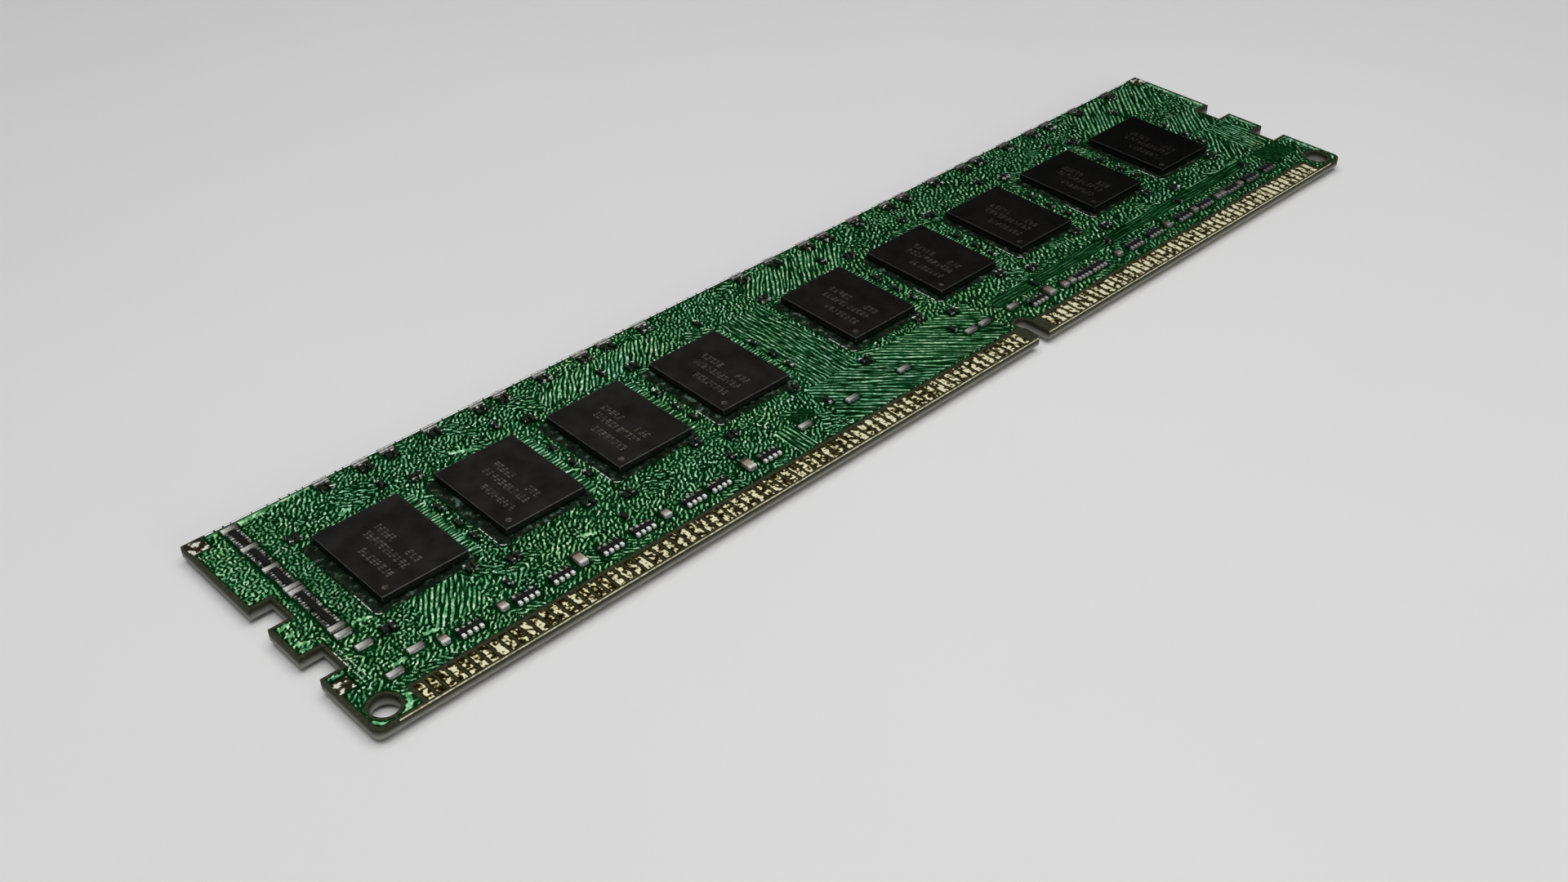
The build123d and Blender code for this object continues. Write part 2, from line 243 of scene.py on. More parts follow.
class Finish:
    """A material under construction: its node tree and its one Principled shader."""

    def __init__(self, name, colour, roughness=0.5, metallic=0.0, specular=0.5):
        self.material = bpy.data.materials.new(name)
        self.material.use_nodes = True
        self.tree = self.material.node_tree
        self.shader = self.tree.nodes["Principled BSDF"]
        self.shader.inputs["Base Color"].default_value = (*colour, 1)
        self.shader.inputs["Roughness"].default_value = roughness
        self.shader.inputs["Metallic"].default_value = metallic
        self.shader.inputs["Specular IOR Level"].default_value = specular
        where = self.tree.nodes.new("ShaderNodeTexCoord")
        to_mm = self.tree.nodes.new("ShaderNodeVectorMath")
        to_mm.operation = "SCALE"
        to_mm.inputs["Scale"].default_value = 1 / MM
        self.link(where.outputs["Object"], to_mm.inputs[0])
        self.millimetres = to_mm.outputs["Vector"]

    def link(self, source, target):
        self.tree.links.new(source, target)

    def stretched(self, x, y, z):
        """The coordinates in millimetres, multiplied along each axis."""
        node = self.tree.nodes.new("ShaderNodeVectorMath")
        node.operation = "MULTIPLY"
        node.inputs[1].default_value = (x, y, z)
        self.link(self.millimetres, node.inputs[0])
        return node.outputs["Vector"]

    def noise(self, per_mm, detail=2.0, rough=0.5, vector=None):
        """Noise with per_mm lumps to the millimetre."""
        node = self.tree.nodes.new("ShaderNodeTexNoise")
        node.inputs["Scale"].default_value = per_mm
        node.inputs["Detail"].default_value = detail
        node.inputs["Roughness"].default_value = rough
        self.link(vector or self.millimetres, node.inputs["Vector"])
        return node.outputs["Fac"]

    def part(self, axis):
        """One of the coordinates in millimetres: "X", "Y" or "Z"."""
        node = self.tree.nodes.new("ShaderNodeSeparateXYZ")
        self.link(self.millimetres, node.inputs[0])
        return node.outputs[axis]

    def attribute(self, name):
        node = self.tree.nodes.new("ShaderNodeAttribute")
        node.attribute_name = name
        return node.outputs["Fac"]

    def along_board(self):
        """The share of the board's length, from the contact-1 end."""
        from_end = self.maths("SUBTRACT", self.part("X"), BOARD_LOW.x / MM)
        return self.maths("DIVIDE", from_end, LENGTH)

    def dimmed_by_painted_shade(self, colour, far):
        """Painted shade: a colour that dims along the board to the share far of itself."""
        share = self.ramp(self.along_board(), [(0.3, 1.0), (0.55, (1 + far) / 2), (0.95, far)])
        return self.mix(1.0, colour, share, "MULTIPLY")

    def ramp(self, value, stops):
        """Colours or greys by value: stops are (position, colour or grey)."""
        node = self.tree.nodes.new("ShaderNodeValToRGB")
        ramp = node.color_ramp
        while len(ramp.elements) < len(stops):
            ramp.elements.new(0.5)
        for element, (position, shade) in zip(ramp.elements, stops):
            element.position = position
            element.color = (*shade, 1) if hasattr(shade, "__len__") else (shade, shade, shade, 1)
        self.link(value, node.inputs["Fac"])
        return node.outputs["Color"]

    def mottled(self, per_mm, stops, detail=2.0, rough=0.5, vector=None):
        """Colours or greys spread by noise."""
        return self.ramp(self.noise(per_mm, detail, rough, vector), stops)

    def maths(self, operation, a, b=0):
        node = self.tree.nodes.new("ShaderNodeMath")
        node.operation = operation
        for socket, value in zip(node.inputs, (a, b)):
            if isinstance(value, (int, float)):
                socket.default_value = value
            else:
                self.link(value, socket)
        return node.outputs["Value"]

    def mix(self, share, first, second, blend="MIX"):
        node = self.tree.nodes.new("ShaderNodeMix")
        node.data_type = "RGBA"
        node.blend_type = blend
        for name, value in (("Factor", share), ("A", first), ("B", second)):
            socket = node.inputs[name]
            if isinstance(value, (int, float)):
                socket.default_value = value
            elif isinstance(value, tuple):
                socket.default_value = (*value, 1)
            else:
                self.link(value, socket)
        return node.outputs["Result"]

    def colour(self, socket):
        self.link(socket, self.shader.inputs["Base Color"])

    def roughness(self, socket):
        self.link(socket, self.shader.inputs["Roughness"])

    def specular(self, socket):
        self.link(socket, self.shader.inputs["Specular IOR Level"])

    def bump(self, height, depth_mm):
        node = self.tree.nodes.new("ShaderNodeBump")
        node.inputs["Distance"].default_value = depth_mm * MM
        self.link(height, node.inputs["Height"])
        self.link(node.outputs["Normal"], self.shader.inputs["Normal"])


# Finishes

CONTACT_WIDTH = 0.76
PITCHES_ADDED = 100  # whole pitches that keep the place along the contacts positive


def floor_material():
    finish = Finish("pale_floor", (0.80, 0.80, 0.80), roughness=0.75, specular=0.15)
    finish.colour(finish.mottled(0.02, [(0.3, 0.79), (0.7, 0.81)], detail=4))
    finish.bump(finish.noise(0.8, detail=3), 0.02)
    return finish.material


def coating_material(name, face, outward):
    """Green coating: near-black green over bare laminate, mint over the copper tracks, with near-white
    painted highlights on the tracks' crests and painted shade that dims the crests toward the far end.

    The tracks rise from the height face, upwards where outward is 1 and downwards where it is -1.
    """
    finish = Finish(name, (0.02, 0.10, 0.04), roughness=0.45)
    above_face = finish.maths("SUBTRACT", finish.part("Z"), face / MM)
    rise = finish.maths("DIVIDE", above_face, outward * TRACK_RISE)
    valley_stops = [(0.35, (0.0008, 0.012, 0.0022)), (0.7, (0.0026, 0.030, 0.0066))]
    valley = finish.mottled(0.35, valley_stops, detail=3)
    flank_stops = [(0.35, (0.004, 0.046, 0.012)), (0.65, (0.018, 0.105, 0.038))]
    flank = finish.mottled(1.3, flank_stops, detail=3)
    # The colours of the crests run up to near white: painted highlights on the tracks.
    crest_and_highlight_stops = [(0.36, (0.030, 0.170, 0.058)), (0.49, (0.170, 0.480, 0.225)),
                   (0.59, (0.500, 0.880, 0.540)), (0.67, (0.880, 1.000, 0.880))]
    crest_and_highlight = finish.mottled(1.7, crest_and_highlight_stops, detail=3, rough=0.6)
    tint_stops = [(0.32, (0.82, 0.92, 1.05)), (0.5, (0.96, 0.98, 0.95)), (0.66, (1.05, 1.00, 0.85))]
    tint = finish.mottled(0.11, tint_stops)
    # Painted shade: the crests dim toward the far end of the board.
    crest_and_highlight = finish.dimmed_by_painted_shade(finish.mix(1.0, crest_and_highlight, tint, "MULTIPLY"), 0.75)
    low = finish.mix(finish.ramp(rise, [(0.08, 0.0), (0.45, 1.0)]), valley, flank)
    finish.colour(finish.mix(finish.ramp(rise, [(0.45, 0.0), (0.85, 1.0)]), low, crest_and_highlight))
    finish.specular(finish.ramp(rise, [(0.2, 0.005), (0.9, 0.10)]))
    finish.roughness(finish.mottled(4.0, [(0.3, 0.32), (0.7, 0.55)]))
    finish.bump(finish.noise(8.0), 0.006)
    return finish.material


def chip_shadow_material():
    """A painted shadow round each memory chip: a dark sheet on the coating, with a few pale flecks."""
    finish = Finish("painted_chip_shadow", (0.006, 0.012, 0.007), roughness=0.55, specular=0.05)
    stops = [(0.40, (0.0035, 0.0070, 0.0038)), (0.58, (0.014, 0.024, 0.014)), (0.66, (0.110, 0.170, 0.120))]
    finish.colour(finish.mottled(1.6, stops, detail=4, rough=0.6))
    finish.bump(finish.noise(5.0, detail=3), 0.01)
    return finish.material


def laminate_material(name, dark, light):
    """Glass and resin, with the grain of the weave."""
    finish = Finish(name, light, roughness=0.6, specular=0.12)
    weave = finish.stretched(1, 1, 0.4)
    finish.colour(finish.mottled(3.0, [(0.3, dark), (0.7, light)], detail=3, vector=weave))
    finish.bump(finish.noise(8.0), 0.01)
    return finish.material


def cut_edge_material():
    """The board's cut edge: painted shade, dark just below the chip side and paler toward the bottom, so that
    it runs into the shadow on the floor.
    """
    finish = Finish("cut_laminate", (0.3, 0.3, 0.25), roughness=0.6, specular=0.1)
    core_low, core_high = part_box("core_laminate")
    depth = finish.maths("SUBTRACT", core_high.z / MM, finish.part("Z"))
    depth = finish.maths("DIVIDE", depth, (core_high.z - core_low.z) / MM)
    # Painted shade: dark at the top of the edge, paler toward the bottom.
    stops = [(0.0, (0.014, 0.018, 0.010)), (0.35, (0.070, 0.072, 0.054)), (1.0, (0.33, 0.33, 0.29))]
    layers = finish.stretched(0.4, 0.4, 3)
    streaks = finish.mottled(2.5, [(0.3, 0.75), (0.7, 1.0)], detail=3, vector=layers)
    finish.colour(finish.mix(1.0, finish.ramp(depth, stops), streaks, "MULTIPLY"))
    finish.bump(finish.noise(8.0), 0.01)
    return finish.material


def gold_material():
    """Hard gold, mottled by wear: bright where worn and brown where tarnished. Painted shade darkens each
    contact toward its sides and its upper end, and painted light brightens the contacts toward the far end.

    The contacts are 1 mm apart, so the fraction of a millimetre is the place across a contact.
    """
    finish = Finish("gold", (0.83, 0.68, 0.33), roughness=0.3, metallic=0.35, specular=0.02)
    low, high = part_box("contacts_front_long")
    first_middle = low.x / MM + CONTACT_WIDTH / 2
    from_first = finish.maths("SUBTRACT", finish.part("X"), first_middle)
    pitches = finish.maths("ADD", from_first, PITCHES_ADDED + 0.5)
    off_middle = finish.maths("ABSOLUTE", finish.maths("SUBTRACT", finish.maths("FRACT", pitches), 0.5))
    below_top = finish.maths("SUBTRACT", high.y / MM, finish.part("Y"))
    wear = finish.noise(2.7, detail=1.5, vector=finish.stretched(1.0, 0.95, 1.0))
    # Painted shade toward each contact's sides.
    worn = finish.maths("SUBTRACT", wear, finish.ramp(off_middle, [(0.27, 0.0), (0.37, 0.24)]))
    # Painted shade at each contact's upper end.
    worn = finish.maths("SUBTRACT", worn, finish.ramp(below_top, [(0.05, 0.14), (0.30, 0.0)]))
    # Painted light: brighter toward the far end of the board.
    worn = finish.maths("ADD", worn, finish.maths("MULTIPLY", finish.along_board(), 0.085))
    finish.colour(finish.ramp(worn, [(0.42, (0.014, 0.010, 0.0010)), (0.485, (0.085, 0.066, 0.013)),
                                    (0.53, (0.50, 0.44, 0.19)), (0.57, (1.0, 0.97, 0.67))]))
    scratches = finish.stretched(2.0, 0.3, 1.0)
    finish.roughness(finish.mottled(5.0, [(0.3, 0.25), (0.7, 0.5)], vector=scratches))
    finish.bump(wear, 0.03)
    return finish.material


def pad_material():
    """The corner pads: tarnished gold with a few bright curls."""
    finish = Finish("pad_gold", (0.40, 0.33, 0.16), roughness=0.35, metallic=0.35, specular=0.1)
    stops = [(0.48, (0.022, 0.020, 0.007)), (0.55, (0.14, 0.13, 0.07)), (0.58, (0.95, 0.93, 0.80))]
    finish.colour(finish.mottled(1.7, stops))
    finish.bump(finish.noise(3.0), 0.02)
    return finish.material


def copper_material():
    finish = Finish("copper", (0.62, 0.32, 0.17), roughness=0.35, metallic=1.0)
    finish.colour(finish.mottled(2.0, [(0.3, (0.42, 0.20, 0.10)), (0.7, (0.75, 0.43, 0.26))], detail=3))
    finish.bump(finish.noise(10.0), 0.004)
    return finish.material


def mold_material():
    """Black moulded epoxy with a fine grain, with painted shade that darkens it from chip to chip along the
    board.
    """
    finish = Finish("mold_compound", (0.010, 0.0095, 0.0085), roughness=0.6, specular=0.04)
    stops = [(0.3, (0.0092, 0.0086, 0.0076)), (0.7, (0.0200, 0.0188, 0.0168))]
    finish.colour(finish.dimmed_by_painted_shade(finish.mottled(0.5, stops, detail=4), 0.02))
    finish.roughness(finish.mottled(4.0, [(0.3, 0.50), (0.7, 0.70)], detail=4))
    finish.bump(finish.noise(14.0, detail=3, rough=0.7), 0.012)
    return finish.material


def mold_edge_highlight_material():
    """A painted highlight on the moulding's rounded edges, lighter than the rest and dimmed along the board
    by painted shade.
    """
    finish = Finish("mold_edge_highlight", (0.10, 0.10, 0.09), roughness=0.4, specular=0.3)
    stops = [(0.3, (0.016, 0.020, 0.017)), (0.7, (0.070, 0.085, 0.068))]
    finish.colour(finish.dimmed_by_painted_shade(finish.mottled(3.0, stops, detail=3), 0.35))
    finish.bump(finish.noise(12.0), 0.01)
    return finish.material


def etched_material():
    """Laser-etched moulding, faintly browner and lighter than the rest."""
    finish = Finish("etched_mold", (0.03, 0.027, 0.022), roughness=0.8, specular=0.05)
    stops = [(0.35, (0.026, 0.0245, 0.0195)), (0.65, (0.105, 0.099, 0.082))]
    # Painted shade dims the etching along the board.
    finish.colour(finish.dimmed_by_painted_shade(finish.mottled(2.2, stops), 0.25))
    finish.bump(finish.noise(18.0), 0.01)
    return finish.material


def substrate_material():
    finish = Finish("chip_substrate", (0.008, 0.012, 0.007), roughness=0.5, specular=0.1)
    stops = [(0.3, (0.004, 0.007, 0.004)), (0.7, (0.012, 0.017, 0.010))]
    finish.colour(finish.mottled(5.0, stops, detail=3))
    finish.bump(finish.noise(15.0), 0.008)
    return finish.material


def solder_material():
    finish = Finish("solder", (0.62, 0.63, 0.64), roughness=0.35, metallic=1.0)
    finish.colour(finish.mottled(4.0, [(0.3, (0.16, 0.16, 0.16)), (0.7, (0.62, 0.62, 0.61))], detail=3))
    finish.bump(finish.noise(9.0), 0.01)
    return finish.material


def tin_material():
    """Tin plating over a fired terminal: satin, with dull spots."""
    finish = Finish("tin_plate", (0.95, 0.94, 0.92), roughness=0.3, metallic=0.6)
    stops = [(0.28, (0.34, 0.33, 0.32)), (0.6, (0.95, 0.94, 0.92))]
    # Painted shade dims the tin along the board.
    finish.colour(finish.dimmed_by_painted_shade(finish.mottled(3.5, stops, detail=4), 0.25))
    finish.roughness(finish.mottled(6.0, [(0.3, 0.20), (0.7, 0.42)]))
    finish.bump(finish.noise(12.0), 0.008)
    return finish.material


def small_tin_material():
    """The smallest parts' terminals: tarnished, with bright flecks."""
    finish = Finish("small_part_tin", (0.1, 0.1, 0.1), roughness=0.4, metallic=0.2, specular=0.1)
    stops = [(0.50, (0.008, 0.013, 0.008)), (0.57, (0.10, 0.12, 0.10)), (0.62, (0.80, 0.84, 0.78))]
    finish.colour(finish.mottled(2.6, stops, detail=3))
    finish.bump(finish.noise(10.0), 0.01)
    return finish.material


def array_tin_material():
    """Tin with painted light: a painted highlight on the legs on the row of arrays' contact side, painted
    shade on all the other legs, and dimmed along the board by painted shade.
    """
    finish = Finish("array_tin", (0.9, 0.9, 0.88), roughness=0.3, metallic=0.15)
    bodies = solids("resistor_array_bodies")
    low, high = bodies[len(bodies) // 2]
    middle = (low.y + high.y) / 2 / MM
    # Painted highlight on the legs on the contact side.
    bright = finish.mottled(3.0, [(0.3, (0.85, 0.85, 0.83)), (0.6, (1.0, 1.0, 0.98))])
    # Painted shade on the other legs.
    dull = finish.mottled(3.4, [(0.44, (0.010, 0.011, 0.010)), (0.60, (0.66, 0.67, 0.62))], detail=3)
    lit_side = finish.maths("LESS_THAN", finish.part("Y"), middle)
    finish.colour(finish.dimmed_by_painted_shade(finish.mix(lit_side, dull, bright), 0.15))
    finish.bump(finish.noise(12.0), 0.008)
    return finish.material


def painted_light_material(name, stops, metallic=0.0):
    """A finish whose painted light changes across each part, by the attribute written into each part's copy,
    and which dims along the board by painted shade.
    """
    finish = Finish(name, stops[0][1], roughness=0.35, metallic=metallic, specular=0.3)
    shade = finish.ramp(finish.attribute(GRADE), stops)
    spots = finish.mottled(3.2, [(0.3, 0.72), (0.62, 1.0)], detail=4)
    finish.colour(finish.dimmed_by_painted_shade(finish.mix(1.0, shade, spots, "MULTIPLY"), 0.3))
    finish.bump(finish.noise(12.0), 0.006)
    return finish.material


def silicon_material():
    finish = Finish("silicon", (0.25, 0.26, 0.30), roughness=0.2, metallic=0.3)
    finish.bump(finish.noise(30.0), 0.002)
    return finish.material


def ceramic_material(name, dark, light, specular):
    """Fired ceramic with a grainy body."""
    finish = Finish(name, light, roughness=0.5, specular=specular)
    finish.colour(finish.mottled(3.0, [(0.3, dark), (0.7, light)], detail=4))
    finish.roughness(finish.mottled(8.0, [(0.3, 0.4), (0.7, 0.62)]))
    finish.bump(finish.noise(16.0, detail=3), 0.008)
    return finish.material


def edge_ceramic_material():
    """The grey ceramic of the parts along the top edge."""
    finish = Finish("dark_ceramic", (0.2, 0.2, 0.2), roughness=0.45, specular=0.3)
    stops = [(0.35, (0.030, 0.033, 0.026)), (0.65, (0.30, 0.29, 0.26))]
    # Painted shade dims the ceramic along the board.
    finish.colour(finish.dimmed_by_painted_shade(finish.mottled(3.0, stops, detail=4), 0.12))
    finish.bump(finish.noise(16.0, detail=3), 0.008)
    return finish.material


def label_material():
    finish = Finish("label_stock", (0.8, 0.8, 0.78), roughness=0.55, specular=0.3)
    finish.colour(finish.mottled(0.4, [(0.3, (0.70, 0.70, 0.68)), (0.7, (0.80, 0.80, 0.78))], detail=4))
    finish.bump(finish.noise(5.0, detail=4, rough=0.7), 0.01)
    return finish.material


def legend_material():
    """White printing ink, worn through in places."""
    finish = Finish("legend_ink", (0.75, 0.76, 0.72), roughness=0.6, specular=0.2)
    finish.colour(finish.mottled(7.0, [(0.3, (0.34, 0.38, 0.33)), (0.6, (0.82, 0.83, 0.79))], detail=3))
    return finish.material


# The coating's relief over the copper tracks

TRACK_RISE = 0.035
SKIN = 0.002  # mm by which the relief's valleys clear the CAD coating
FRONT_GRID = 10  # points per mm
BACK_GRID = 5
FRONT_SEED = 11
BACK_SEED = 12
PIECE_LENGTH = 17.0  # mm of the board in each piece of relief
SAME_HEIGHT = 1e-6  # metres
RIM = 0.3  # mm along the top edge that stay free of tracks
PART_GAP = 0.22  # mm that tracks keep from the parts
SMALL_GAP = 0.06  # from the smallest parts
PAD_GAP = 0.2

# The lines: the pitch of the tracks, and how a line of the filtered noise becomes a track
TRACK_PITCH = 0.42
FAR_PITCH = 0.52  # of the tracks on the far part of the board
FAR_FROM = 72.0  # mm from the contact-1 end, where the pitch changes
BAND_WIDTH = 0.32  # share by which the pitch of neighbouring tracks varies
TRACK_SHARE = 0.16  # added to the noise: more of it makes wider tracks
THINNING = 0.25  # taken off it again at the far end
FLANK = 0.75  # of the noise, from a track's foot to its crown

# How tracks run: the heading of their lines and its spread, in degrees
USUAL_RUN = (50, 27)
CROSS_RUN = (-38, 26)
MIXED_RUN = (60, 70)
ANY_RUN = (0, 90)
# A second, slower noise chooses the patches where tracks turn
REGION_SIZE = 7.0  # mm
MIXED_ABOVE = 0.8
CROSS_BELOW = -1.0
# A third one breaks the lines into short strokes
BREAK_PITCH = 0.62
BREAK_SHARE = 0.85

# Bundles that run their own way: the box that each fills, the run and the pitch
KEY_FIELD = (54.4, 2.8, 77.0, 9.6)
GAP_STRIP = (56.0, 9.6, 61.8, 23.5)
COLUMN_STRIP = (5.4, 10.5, 7.0, 29.0)
BUNDLES = (
    (KEY_FIELD, (-42, 5), 0.50),
    (GAP_STRIP, (91, 10), 0.46),
    ((62.0, 23.6, 76.0, 28.6), (50, 7), 0.46),
    ((117.0, 23.4, 131.4, 28.9), (49, 4), 0.56),
    ((124.0, 15.6, 131.0, 20.0), (49, 4), 0.52),
    ((123.6, 8.4, 127.2, 15.2), (50, 5), 0.52),
    ((127.2, 8.4, 131.4, 15.2), (88, 12), 0.46),
    ((47.4, 2.8, 49.6, 6.6), (90, 4), 0.50),
    ((10.0, 6.2, 15.0, 10.8), (53, 7), 0.44),
    ((35.0, 24.0, 50.0, 27.6), (50, 9), 0.44),
    (COLUMN_STRIP, MIXED_RUN, TRACK_PITCH),
    ((0.5, 15.6, 3.0, 28.0), MIXED_RUN, TRACK_PITCH),
    ((79.0, 6.25, 124.0, 7.95), (0, 5), TRACK_PITCH),
)
RUNGS = (0, 6)  # how the short bars beside each chip run
RUNG_START = 0.4  # mm from the chip
RUNG_LENGTH = 1.0
# Areas whose tracks stand lower and look darker, and the share of their rise
DIM_AREAS = (
    (KEY_FIELD, 0.88),
    (GAP_STRIP, 0.78),
    (COLUMN_STRIP, 0.78),
    ((79.0, 6.35, 124.0, 7.85), 0.52),
    ((126.0, 4.6, 131.0, 7.8), 0.45),
    ((49.9, 5.9, 52.6, 7.6), 0.4),
)
# Pours, wide strokes of copper, each with its two ends
POURS = (
    ((2.1, 29.42), (12.0, 29.5)),
    ((3.0, 29.15), (7.4, 29.2)),
    ((132.7, 1.2), (132.7, 7.5)),
    ((132.7, 11.5), (132.7, 15.3)),
    ((132.7, 19.3), (132.7, 27.9)),
    ((0.75, 14.9), (1.35, 15.1)),
    ((0.8, 13.7), (1.25, 14.0)),
    ((0.75, 12.5), (1.5, 12.2)),
    ((0.75, 11.6), (1.3, 11.5)),
    ((0.8, 7.35), (1.6, 7.1)),
    ((5.0, 5.2), (6.1, 5.3)),
    ((5.9, 11.6), (6.7, 11.3)),
    ((8.9, 6.5), (9.9, 6.4)),
    ((12.2, 24.2), (13.2, 24.5)),
    ((24.2, 24.9), (26.2, 23.9)),
    ((25.6, 7.4), (26.6, 6.9)),
)
POUR_HALF_WIDTH = 0.28
POUR_FLANK = 0.1
POUR_ROUGHNESS = 0.5  # share of the lines' noise that roughens a pour's sides
RING_POUR_RADIUS = 1.95
RING_POURS = ((188, 262), (282, 352))  # degrees round the near corner hole


def coated_ground(side, grid):
    """Where one face is coated, and where its tracks may run, on a grid of points per mm."""
    coated = np.zeros((int(LENGTH * grid), int(WIDTH * grid)), bool)
    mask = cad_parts[f"solder_mask_{side}"].data
    height = MASK_TOP if side == "front" else MASK_BOTTOM
    mask.calc_loop_triangles()
    for triangle in mask.loop_triangles:
        corners = [mask.vertices[v].co for v in triangle.vertices]
        if max(abs(c.z - height) for c in corners) < SAME_HEIGHT:
            fill_triangle(coated, grid, [plan(c) for c in corners])
    free = coated.copy()
    free[:, int((WIDTH - RIM) * grid) :] = False
    for low, high, margins in keep_clear(side):
        left, bottom, right, top = margins
        (x0, y0), (x1, y1) = plan(low), plan(high)
        block_out(free, grid, x0 - left, y0 - bottom, x1 + right, y1 + top)
    return coated, free


def fill_triangle(cells, grid, corners):
    """Marks the grid cells whose middles lie in a triangle."""
    xs, ys = zip(*corners)
    i0, i1 = int(min(xs) * grid), int(max(xs) * grid) + 1
    j0, j1 = int(min(ys) * grid), int(max(ys) * grid) + 1
    x = (np.arange(i0, i1) + 0.5)[:, None] / grid
    y = (np.arange(j0, j1) + 0.5)[None, :] / grid
    signs = []
    for (ax, ay), (bx, by) in zip(corners, corners[1:] + corners[:1]):
        signs.append((bx - ax) * (y - ay) - (by - ay) * (x - ax) >= 0)
    inside = (signs[0] & signs[1] & signs[2]) | ~(signs[0] | signs[1] | signs[2])
    found = cells[i0:i1, j0:j1]
    found |= inside[: found.shape[0], : found.shape[1]]


def block_out(cells, grid, x0, y0, x1, y1):
    """Clears the grid cells of a box in plan."""
    i0, j0 = max(0, int(x0 * grid)), max(0, int(y0 * grid))
    cells[i0 : int(x1 * grid) + 1, j0 : int(y1 * grid) + 1] = False


def keep_clear(side):
    """The parts on one face with the margins, left, bottom, right and top, that tracks keep from them."""
    found = []
    if side == "front":
        found += [(*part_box(node), chip_shadow_margins(node)) for node in CHIP_NODES]
        found += [(low, high, (PAD_GAP,) * 4) for low, high in solids("corner_pads")]
    for node in sorted(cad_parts):
        if node.endswith(("_terminals", "_bodies", "serial_chip_body", "back_label")):
            for low, high in solids(node):
                if (low.z > BOARD_LOW.z) == (side == "front"):
                    gap = SMALL_GAP if node.startswith(("decoupling", "edge")) else PART_GAP
                    found.append((low, high, (gap,) * 4))
    return found


def grain(shape, grid, run, draw, pitch=TRACK_PITCH):
    """Noise filtered down to lines of one pitch that run by a heading and its spread."""
    heading, spread = run
    waves = np.fft.fft2(draw.standard_normal(shape))
    along = np.fft.fftfreq(shape[0], 1 / grid)[:, None]
    up = np.fft.fftfreq(shape[1], 1 / grid)[None, :]
    off_pitch = np.hypot(along, up) * pitch - 1
    off_heading = np.arcsin(np.abs(np.cos(np.arctan2(up, along) - math.radians(heading))))
    waves *= np.exp(-((off_pitch / BAND_WIDTH) ** 2) / 2)
    waves *= np.exp(-((off_heading / math.radians(spread)) ** 2) / 2)
    lines = np.fft.ifft2(waves).real
    return lines / lines.std()


def in_box(x, y, box):
    return (x >= box[0]) & (x <= box[2]) & (y >= box[1]) & (y <= box[3])


def softened(values):
    """Each value averaged with its neighbours."""
    padded = np.pad(values.astype(float), 1, mode="edge")
    rows = padded[:-2] + padded[1:-1] + padded[2:]
    return (rows[:, :-2] + rows[:, 1:-1] + rows[:, 2:]) / 9


def relief(side, grid, seed):
    """The share of a track's full rise at each grid point of one face, and where the face is coated."""
    draw = np.random.default_rng(seed)
    coated, free = coated_ground(side, grid)
    shape = coated.shape
    x = (np.arange(shape[0])[:, None] + 0.5) / grid
    y = (np.arange(shape[1])[None, :] + 0.5) / grid
    region = grain(shape, grid, ANY_RUN, draw, REGION_SIZE)
    near_lines = grain(shape, grid, USUAL_RUN, draw)
    far_lines = grain(shape, grid, USUAL_RUN, draw, FAR_PITCH)
    lines = np.where(x + REGION_SIZE * region > FAR_FROM, far_lines, near_lines)
    lines = np.where(region > MIXED_ABOVE, grain(shape, grid, MIXED_RUN, draw), lines)
    lines = np.where(region < CROSS_BELOW, grain(shape, grid, CROSS_RUN, draw), lines)
    lines -= BREAK_SHARE * np.maximum(grain(shape, grid, ANY_RUN, draw, BREAK_PITCH), 0)
    share = np.ones(shape)
    solid = np.zeros(shape)
    if side == "front":
        for box, run, pitch in BUNDLES + rungs_beside_chips():
            lines = np.where(in_box(x, y, box), grain(shape, grid, run, draw, pitch), lines)
        for box, dimmed in DIM_AREAS:
            share = np.where(in_box(x, y, box), dimmed, share)
        solid = pours(x, y, lines)
    rise = np.clip((lines + TRACK_SHARE - THINNING * x / LENGTH) / FLANK, 0, 1) * share
    rise = np.maximum(rise, solid)
    return rise * softened(softened(free)) * free, coated


def rungs_beside_chips():
    """A strip of short bars on the right of each memory chip, as bundles."""
    strips = []
    for node in CHIP_NODES:
        (_, y0), (x1, y1) = (plan(corner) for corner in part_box(node))
        start = x1 + RUNG_START
        strips.append(((start, y0, start + RUNG_LENGTH, y1), RUNGS, TRACK_PITCH))
    return tuple(strips)


def pours(x, y, lines):
    """The share of the full rise that the pours reach. The noise in lines roughens their sides."""
    strokes = list(POURS)
    for start, end in RING_POURS:
        arc = ring((HOLE_INSET, HOLE_INSET), RING_POUR_RADIUS, start, end)
        strokes += list(zip(arc, arc[1:]))
    solid = np.zeros(lines.shape)
    for (ax, ay), (bx, by) in strokes:
        run = (bx - ax) ** 2 + (by - ay) ** 2
        t = np.clip(((x - ax) * (bx - ax) + (y - ay) * (by - ay)) / run, 0, 1)
        away = np.hypot(x - ax - t * (bx - ax), y - ay - t * (by - ay))
        inside = (POUR_HALF_WIDTH - away) / POUR_FLANK + POUR_ROUGHNESS * lines
        solid = np.maximum(solid, np.clip(inside, 0, 1))
    return solid


